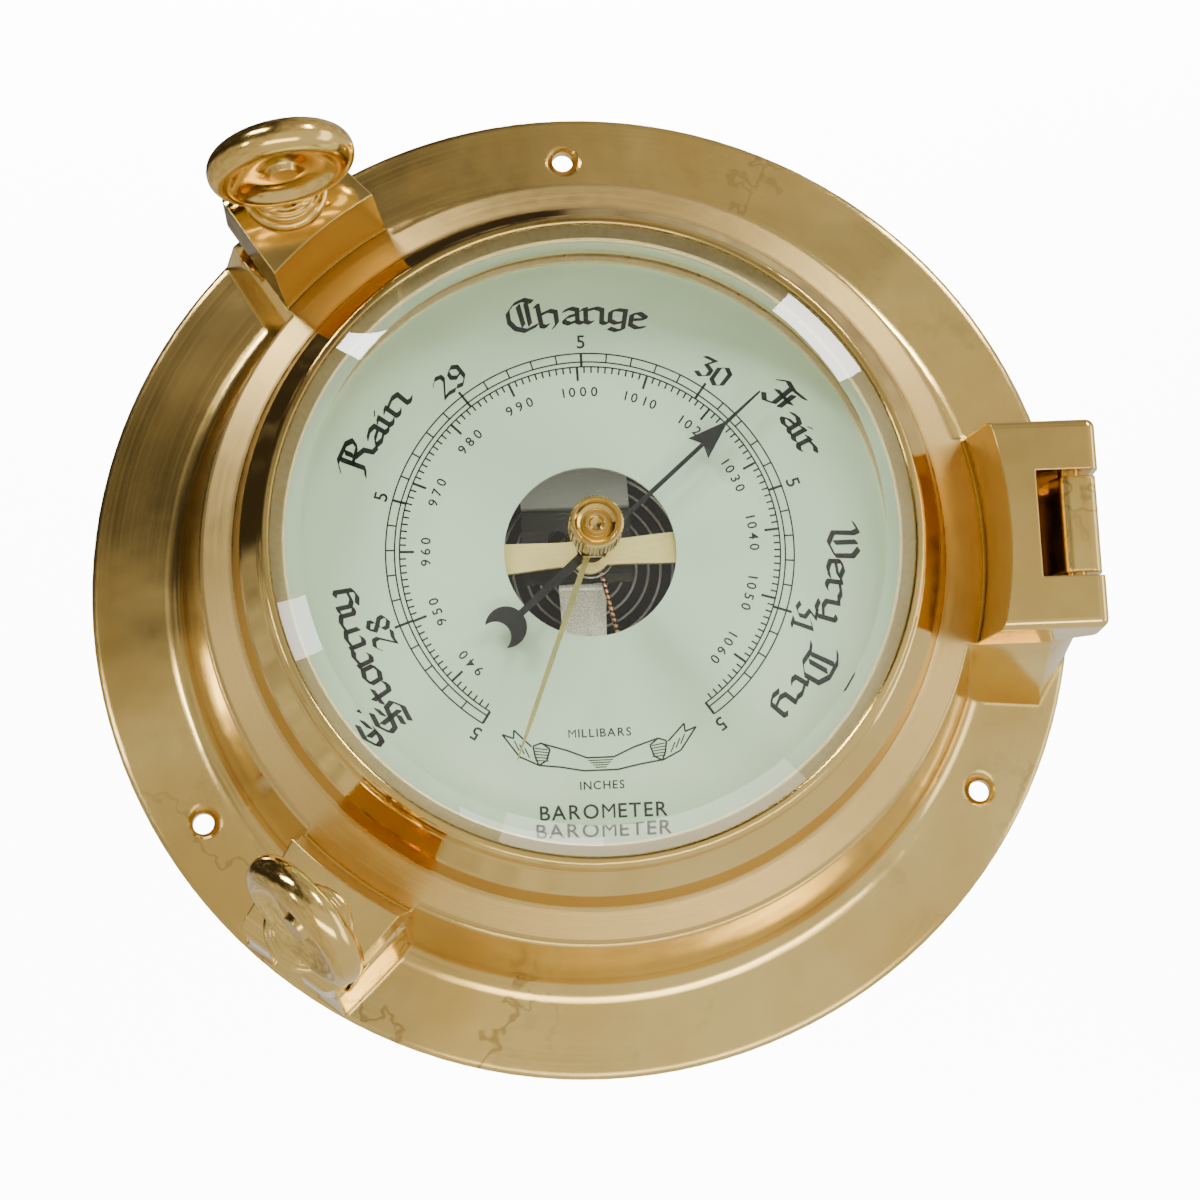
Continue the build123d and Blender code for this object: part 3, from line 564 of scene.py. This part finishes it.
# Blackletter in units of the pen's width: x height 5, written with broad straight pulls.
FOOT = [(0, 4.6), (0, 0.6), (0.45, 0.2), (0.8, 0.5)]
LETTERS = {
    "a": (2.7, [[(0.2, 4.2), (1.0, 4.8), (1.7, 4.3), (1.7, 0.6), (2.1, 0.2), (2.5, 0.5)],
                [(1.6, 2.9), (0.5, 2.2), (0.1, 1.5), (0.1, 0.8), (0.7, 0.2), (1.6, 0.9)]]),
    "e": (2.3, [[(1.8, 0.9), (0.9, 0.2), (0.1, 0.8), (0.1, 4.0), (0.9, 4.8), (1.7, 4.0), (1.6, 3.3),
                 (0.2, 2.4)]]),
    "g": (2.5, [[(1.9, 4.8), (0.9, 4.8), (0.1, 4.0), (0.1, 1.3), (0.8, 0.6), (1.7, 1.3)],
                [(1.8, 4.6), (1.8, -0.9), (1.0, -1.6), (0.1, -1.1)]]),
    "h": (2.7, [[(-0.3, 6.8), (0, 7.0), (0, 0.6), (0.45, 0.2), (0.8, 0.5)],
                [(0.1, 4.0), (1.2, 4.8), (1.9, 4.2), (1.9, 0.8), (1.4, -0.5)]]),
    "i": (1.3, [[(-0.5, 4.2)] + FOOT, [(0.1, 6.2), (0.2, 6.3)]]),
    "m": (4.4, [[(-0.5, 4.2)] + FOOT, [(0.1, 4.0), (1.1, 4.8), (1.8, 4.3), (1.8, 0.5)],
                [(1.9, 4.0), (2.9, 4.8), (3.6, 4.3), (3.6, 0.6), (4.0, 0.2), (4.4, 0.5)]]),
    "n": (2.8, [[(-0.5, 4.2)] + FOOT,
                [(0.1, 4.0), (1.2, 4.8), (1.9, 4.3), (1.9, 0.6), (2.3, 0.2), (2.7, 0.5)]]),
    "o": (2.4, [[(0.1, 0.9), (0.1, 4.0), (1.0, 4.8), (1.8, 4.1), (1.8, 1.0), (0.9, 0.2), (0.1, 0.9)]]),
    "r": (2.1, [[(-0.5, 4.2)] + FOOT, [(0.1, 4.0), (1.1, 4.8), (1.7, 4.3)]]),
    "t": (1.9, [[(0.4, 6.0), (0.4, 0.7), (0.9, 0.2), (1.5, 0.6)], [(-0.4, 4.6), (1.4, 4.6)]]),
    "y": (2.6, [[(-0.4, 4.4), (0.1, 4.7), (0.1, 1.0), (0.7, 0.3), (1.8, 1.1)],
                [(1.5, 4.9), (1.9, 4.5), (1.9, -0.6), (1.1, -1.6), (0.2, -1.1)]]),
    "C": (3.7, [[(3.2, 6.1), (2.3, 6.9), (1.2, 6.5), (0.3, 5.1), (0.1, 3.0), (0.6, 1.2), (1.7, 0.2),
                 (3.2, 0.8)],
                [(1.6, 5.9), (1.6, 1.4)], [(2.5, 6.2), (2.4, 1.3)]]),
    "D": (3.9, [[(-0.3, 6.0), (0.6, 6.8), (2.2, 6.6), (3.2, 5.2), (3.2, 1.8), (2.1, 0.3), (0.7, 0.7),
                 (-0.2, 0.2)],
                [(0.9, 6.3), (0.9, 1.0)], [(1.8, 5.6), (1.7, 1.4)]]),
    "F": (3.4, [[(-0.4, 5.4), (0.4, 6.7), (1.6, 6.3), (3.2, 7.0)],
                [(1.3, 6.2), (1.3, 1.2), (0.2, 0.2), (-0.5, 1.2)],
                [(0.3, 3.7), (2.7, 3.9)], [(2.1, 5.6), (2.1, 1.6)]]),
    "R": (3.7, [[(-0.3, 5.6), (0.5, 6.7), (2.4, 6.6), (3.0, 5.6), (2.6, 4.2), (0.9, 3.6)],
                [(0.8, 6.3), (0.8, 0.8), (0.0, 0.2)], [(1.6, 3.6), (2.6, 2.6), (2.8, 0.7), (3.5, 0.3)],
                [(1.6, 6.0), (1.6, 4.2)]]),
    "S": (3.7, [[(3.1, 6.3), (1.7, 6.9), (0.4, 5.8), (0.5, 4.4), (2.7, 3.1), (2.9, 1.5), (1.7, 0.3),
                 (0.0, 1.1)],
                [(1.6, 5.9), (1.6, 1.4)], [(0.2, 2.6), (1.2, 2.2)], [(2.2, 4.6), (3.2, 4.9)]]),
    "V": (3.5, [[(-0.3, 6.0), (0.5, 6.7), (0.7, 5.6), (0.5, 1.4), (1.6, 0.3), (3.0, 1.6), (3.0, 5.4),
                 (2.3, 6.6)],
                [(1.6, 6.2), (1.6, 1.6)]]),
    "0": (2.9, [[(0.2, 1.2), (0.2, 5.2), (1.2, 6.4), (2.2, 5.4), (2.2, 1.4), (1.2, 0.2), (0.2, 1.2)]]),
    "1": (1.8, [[(-0.2, 5.2), (0.8, 6.3), (0.8, 0.3)], [(0.0, 0.2), (1.5, 0.3)]]),
    "2": (2.9, [[(0.1, 5.3), (0.9, 6.4), (1.9, 5.9), (2.0, 4.6), (0.1, 0.4), (1.2, 0.7), (2.4, 0.3)]]),
    "3": (2.8, [[(0.1, 5.9), (1.9, 6.2), (0.9, 4.0), (2.1, 3.2), (2.1, 1.4), (1.0, 0.2), (0.0, 0.9)]]),
    "8": (2.9, [[(1.1, 3.5), (0.3, 4.6), (1.0, 6.3), (2.0, 5.5), (1.9, 4.4), (0.2, 2.2), (0.3, 1.0),
                 (1.3, 0.2), (2.3, 1.2), (2.1, 2.6), (1.1, 3.5)]]),
    "9": (2.9, [[(2.1, 3.6), (1.0, 2.9), (0.2, 3.9), (0.3, 5.4), (1.2, 6.3), (2.1, 5.4), (2.2, 2.0),
                 (1.2, 0.3), (0.1, 0.8)]]),
    " ": (2.6, []),
}

LOWER_CASE = 0.72              # height of small letters against the capitals
PEN_WIDTH = 0.86               # stroke width against the unit of height
PEN_EDGE = 0.18                # and its thin side
PEN_SLANT = radians(38)
WORD_TALL = 0.86               # mm per unit of height
FIGURE_TALL = 0.64


def blackletter(sheet, word, clockwise, radius, wide, tall, pen=1.0, inward=False):
    """Writes a word round the dial, centred on an angle; wide and tall are mm per pen width."""
    total = sum(LETTERS[c][0] for c in word) - 0.6
    start = -total / 2
    for c in word:
        advance, pulls = LETTERS[c]
        for pull in pulls:
            for a, b in zip(pull, pull[1:]):
                high = tall * (LOWER_CASE if c.islower() else 1.0)
                corners = sheet.nib((a[0] * wide, a[1] * high), (b[0] * wide, b[1] * high),
                                    PEN_WIDTH * tall * pen, PEN_SLANT, PEN_EDGE * tall)
                sheet.polygon([arc_to_dial(p[0] + start * wide, p[1], clockwise, radius) for p in corners])
        start += advance


words = Print()
for word, clockwise, radius, wide in (("Stormy", -114.0, 43.6, 1.58), ("Rain", -58.0, 42.6, 1.62),
                                      ("Change", -0.5, 42.4, 1.49), ("Fair", 59.0, 42.4, 1.44),
                                      ("Very Dry", 110.0, 42.8, 1.66)):
    blackletter(words, word, clockwise, radius, wide, WORD_TALL, pen=1.3)
for inches in (28, 29, 30, 31):
    clockwise = (inches - INCH_TOP) * INCH_TURN
    blackletter(words, str(inches), clockwise, SCALE_OUTER + 1.5, 1.04, FIGURE_TALL, pen=1.5)
words.finish("dial_words")


def glyph(character, size):
    """Triangles of one sans character, as pairs of mm."""
    curve = bpy.data.curves.new("glyph", "FONT")
    curve.body = character
    curve.size = size
    curve.resolution_u = 3
    curve.offset = (0.0 if character in "MW" else 0.011) * size
    holder = bpy.data.objects.new("glyph", curve)
    data = bpy.data.meshes.new_from_object(holder)
    shapes = [[tuple(data.vertices[i].co[:2]) for i in face.vertices] for face in data.polygons]
    width = max((p[0] for s in shapes for p in s), default=size * 0.3)
    bpy.data.objects.remove(holder)
    bpy.data.curves.remove(curve)
    bpy.data.meshes.remove(data)
    return shapes, width


def sans(sheet, text, clockwise, radius, size, spacing, upright=False):
    """Sets capitals or figures round the dial, or on a straight line at the foot of it."""
    glyphs = [glyph(c, size) for c in text]
    total = sum(width for _, width in glyphs) + spacing * (len(text) - 1)
    start = -total / 2
    for shapes, width in glyphs:
        for shape in shapes:
            if upright:
                sheet.polygon([(p[0] + start, p[1] - radius) for p in shape])
            else:
                sheet.polygon([arc_to_dial(p[0] + start, p[1], clockwise, radius) for p in shape])
        start += width + spacing


figures = Print()
for value in range(940, 1061, 10):
    sans(figures, str(value), millibar_angle(value), 28.8, 2.5, 0.75)
for half in (27.5, 28.5, 29.5, 30.5, 31.5):
    sans(figures, "5", (half - INCH_TOP) * INCH_TURN, SCALE_OUTER + 1.0, 3.5, 0.0)
sans(figures, "MILLIBARS", 0, 33.7, 2.15, 0.25, upright=True)
sans(figures, "INCHES", 0, 43.1, 2.15, 0.25, upright=True)
sans(figures, "BAROMETER", 0, 48.3, 3.7, 0.3, upright=True)
figures.finish("dial_figures")

# Scroll under the scale: a sagging ribbon with hatched folds and swallow-tailed ends.
scroll = Print()


def ribbon_line(points, width=RIBBON_LINE):
    for a, b in zip(points, points[1:]):
        scroll.line(a, b, width)


ribbon_line([(-10.4, -34.5), (-6.0, -35.9), (-2.4, -37.4), (2.4, -37.4), (6.0, -35.8), (10.4, -34.4)])
ribbon_line([(-11.0, -38.4), (-7.0, -38.9), (-3.0, -39.7), (3.0, -39.7), (7.0, -38.9), (11.0, -38.3)])
for s in (-1, 1):
    ribbon_line([(10.4 * s, -34.4), (8.9 * s, -35.6), (9.6 * s, -37.6), (11.0 * s, -38.4)])
    ribbon_line([(10.4 * s, -34.4), (11.9 * s, -34.9), (11.6 * s, -36.9), (11.0 * s, -38.4)])
    ribbon_line([(11.0 * s, -38.4), (14.4 * s, -36.7), (17.3 * s, -32.6), (15.3 * s, -33.4),
                 (15.2 * s, -31.9), (12.2 * s, -35.0)])
    for i in range(5):
        ribbon_line([(9.2 * s, -35.7 - 0.5 * i), (11.6 * s, -35.3 - 0.55 * i)], HATCH_LINE)
    for i in range(3):
        out = 0.9 * i * s
        ribbon_line([(12.6 * s + out, -37.0 + 0.7 * i), (13.4 * s + out, -35.2 + 0.7 * i)], TAIL_LINE)
for i in range(4):
    ribbon_line([(-2.2 + 0.4 * i, -37.9 - 0.42 * i), (2.2 - 0.4 * i, -37.9 - 0.42 * i)], HATCH_LINE)
scroll.finish("dial_scroll")


# ---------------------------------------------------------------- stage
def stage_plane(name, corners, colour):
    data = bpy.data.meshes.new(name)
    data.from_pydata([tuple(c) for c in corners], [], [(0, 1, 2, 3)])
    m = Nodes(name)
    grain = m.noise(m.place, 6.0, 2.0)
    m.set(Base_Color=m.mix(grain, colour, tuple(c * 0.98 for c in colour[:3]) + (1.0,)), Roughness=0.9)
    data.materials.append(m.material)
    piece = bpy.data.objects.new(name, data)
    bpy.context.scene.collection.objects.link(piece)
    piece.visible_glossy = False       # the room in the brass comes from the world, not from the sheet behind
    piece.visible_diffuse = False
    return piece


WALL_Y, FLOOR_Z = 0.9, -0.9
stage_plane("backdrop", [(-3, WALL_Y, FLOOR_Z), (3, WALL_Y, FLOOR_Z), (3, WALL_Y, 3), (-3, WALL_Y, 3)],
            (0.93, 0.93, 0.93, 1.0))
stage_plane("floor", [(-3, -3, FLOOR_Z), (3, -3, FLOOR_Z), (3, WALL_Y, FLOOR_Z), (-3, WALL_Y, FLOOR_Z)],
            (0.86, 0.86, 0.85, 1.0))


def softbox(name, at, aim, size, watts, colour=(1.0, 1.0, 1.0), seen=True):
    data = bpy.data.lights.new(name, "AREA")
    data.shape = "RECTANGLE"
    data.size, data.size_y = size
    data.energy = watts
    data.color = colour
    lamp = bpy.data.objects.new(name, data)
    lamp.visible_glossy = seen
    bpy.context.scene.collection.objects.link(lamp)
    lamp.location = at
    lamp.rotation_euler = (Vector(aim) - Vector(at)).to_track_quat("-Z", "Y").to_euler()
    return lamp


softbox("wall_light", (0, 0.25, 1.6), (0, 0.9, 0), (2.4, 0.5), 600, seen=False)
softbox("wall_light_low", (0, 0.25, -0.85), (0, 0.9, 0), (2.4, 0.3), 260, seen=False)
softbox("window", (-0.80, -0.96, 1.20), (0, 0, 0), (0.62, 0.22), 24)
softbox("window_right", (0.95, -0.84, 1.02), (0, 0, 0), (0.20, 0.36), 9)
softbox("window_left", (-1.06, -1.05, -0.02), (0, 0, 0), (0.16, 0.22), 2.0)
softbox("low", (0.25, -1.15, -0.80), (0, 0, 0), (1.2, 0.35), 8, (1.0, 0.94, 0.82))
softbox("side", (1.45, -0.35, 0.0), (0, 0, 0), (0.5, 1.3), 5)
softbox("fill", (0.5, -1.6, 1.5), (0, 0, 0), (0.9, 0.9), 22, seen=False)

# The room seen in the brass: dim on the left and overhead, light on the right and below.
world = bpy.data.worlds.new("world")
bpy.context.scene.world = world
world.use_nodes = True
tree = world.node_tree
background = tree.nodes["Background"]


def room_math(operation, a, b):
    node = tree.nodes.new("ShaderNodeMath")
    node.operation = operation
    for socket, value in zip(node.inputs, (a, b)):
        if isinstance(value, bpy.types.NodeSocket):
            tree.links.new(value, socket)
        else:
            socket.default_value = value
    return node.outputs[0]


coords = tree.nodes.new("ShaderNodeTexCoord")
split = tree.nodes.new("ShaderNodeSeparateXYZ")
tree.links.new(coords.outputs["Generated"], split.inputs[0])


def room_patches(scale, detail, share):
    node = tree.nodes.new("ShaderNodeTexNoise")
    node.inputs["Scale"].default_value = scale
    node.inputs["Detail"].default_value = detail
    tree.links.new(coords.outputs["Generated"], node.inputs["Vector"])
    return room_math("MULTIPLY", room_math("SUBTRACT", node.outputs["Fac"], 0.5), share)


def room_slope(value, low, high, out_low, out_high):
    node = tree.nodes.new("ShaderNodeMapRange")
    tree.links.new(value, node.inputs["Value"])
    for key, number in (("From Min", low), ("From Max", high), ("To Min", out_low), ("To Max", out_high)):
        node.inputs[key].default_value = number
    return node.outputs["Result"]


level = room_math("ADD", room_slope(split.outputs[0], -0.9, 0.9, 0.22, 0.60),
                  room_slope(split.outputs[2], -0.8, 0.8, 0.18, -0.14))
# Towards the camera, where the flat brass looks: dark to the left and above, light below.
level = room_math("ADD", level, room_slope(split.outputs[0], -0.10, 0.16, -0.20, 0.10))
level = room_math("ADD", level, room_slope(split.outputs[2], 0.05, 0.30, 0.30, -0.12))
level = room_math("ADD", level, room_patches(4.5, 2.0, 0.9))
level = room_math("ADD", level, room_patches(16.0, 2.0, 1.0))
ramp = tree.nodes.new("ShaderNodeValToRGB")
ramp.color_ramp.interpolation = "B_SPLINE"
ramp.color_ramp.elements[0].position = 0.05
ramp.color_ramp.elements[0].color = (0.05, 0.042, 0.033, 1)
ramp.color_ramp.elements[1].position = 0.85
ramp.color_ramp.elements[1].color = (1.43, 1.36, 1.19, 1)
tree.links.new(level, ramp.inputs[0])
tree.links.new(ramp.outputs[0], background.inputs["Color"])
background.inputs["Strength"].default_value = 0.9
